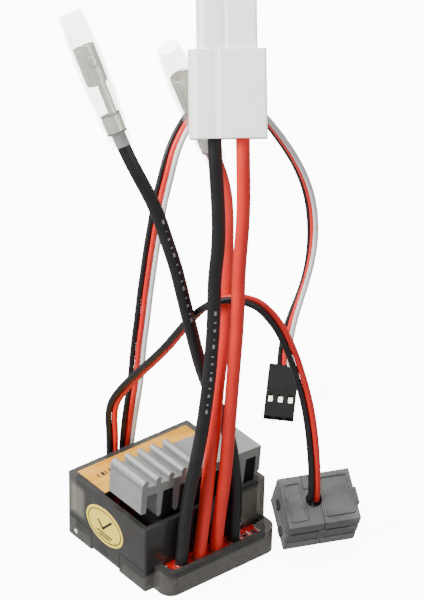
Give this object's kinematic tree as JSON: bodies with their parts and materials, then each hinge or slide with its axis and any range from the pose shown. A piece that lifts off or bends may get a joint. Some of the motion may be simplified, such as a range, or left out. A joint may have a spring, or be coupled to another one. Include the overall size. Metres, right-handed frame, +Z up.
{
  "type": "electronic speed controller",
  "caption": "Brushed motor speed controller in a smoke-plastic housing with a finned heatsink, power leads, battery plug, bullet sockets, servo lead and switch.",
  "frame": {"origin": "bottom centre of the controller itself (housing, tray and heatsink), without its leads and what hangs on them", "axes": "+Z up; +X along the long side; -Y is the side with the tray where the power leads are soldered"},
  "size_m": [0.0871, 0.0668, 0.1451],
  "materials": {
    "smoke_plastic": "smoke-tinted translucent, glossy",
    "board_red": "red solder mask",
    "aluminium": "satin extrusion",
    "black_epoxy": "moulded epoxy",
    "tinned_metal": "tinned",
    "capacitor_sleeve": "shrunk sleeve",
    "ceramic_parts": "chip parts",
    "label_gold": "printed foil label",
    "label_yellow": "paper sticker",
    "silicone_black": "matte silicone",
    "silicone_red": "matte silicone",
    "vinyl_black": "soft vinyl",
    "vinyl_red": "soft vinyl",
    "vinyl_white": "soft vinyl",
    "nylon_white": "milky nylon",
    "brass": "tin-plated brass",
    "clear_vinyl": "clear soft sleeve",
    "black_nylon": "moulded nylon"
  },
  "bodies": {
    "root": {"base_tray": "smoke_plastic", "top_cover": "smoke_plastic", "circuit_board": "board_red", "heatsink": "aluminium", "power_transistors": "black_epoxy", "transistor_legs": "tinned_metal", "smoothing_capacitors": "capacitor_sleeve", "voltage_regulator": "black_epoxy", "microcontroller": "black_epoxy", "small_components": "ceramic_parts", "solder_joints": "tinned_metal", "top_label": "label_gold", "inspection_sticker": "label_yellow", "battery_lead_black": "silicone_black", "battery_lead_red": "silicone_red", "motor_lead_red": "silicone_red", "motor_lead_black": "silicone_black", "servo_core_black": "vinyl_black", "servo_core_red": "vinyl_red", "servo_core_white": "vinyl_white", "switch_core_black": "vinyl_black", "switch_core_red": "vinyl_red", "battery_plug_housing": "nylon_white", "battery_plug_pins": "brass", "left_bullet_sleeve": "clear_vinyl", "left_bullet_socket": "brass", "rear_bullet_sleeve": "clear_vinyl", "rear_bullet_socket": "brass", "servo_plug_housing": "black_nylon", "servo_plug_contacts": "brass", "switch_shell_left": "smoke_plastic", "switch_shell_right": "smoke_plastic", "switch_body": "tinned_metal", "switch_terminals": "tinned_metal"},
    "latch": {"battery_plug_latch": "nylon_white"},
    "slider": {"switch_slider": "black_nylon"}
  },
  "joints": [
    {"name": "latch_hinge", "type": "hinge", "parent": "root", "child": "latch", "pos_m": [0.00609, -0.00917, 0.12317], "axis": [0.7883, -0.6146, 0.0296], "range_deg": [-5, 0], "stiffness_Nm_per_rad": 0.02},
    {"name": "switch_slide", "type": "slide", "parent": "root", "child": "slider", "axis": [0.9116, -0.41, 0.03], "range_m": [0, 0.0025]}
  ]
}
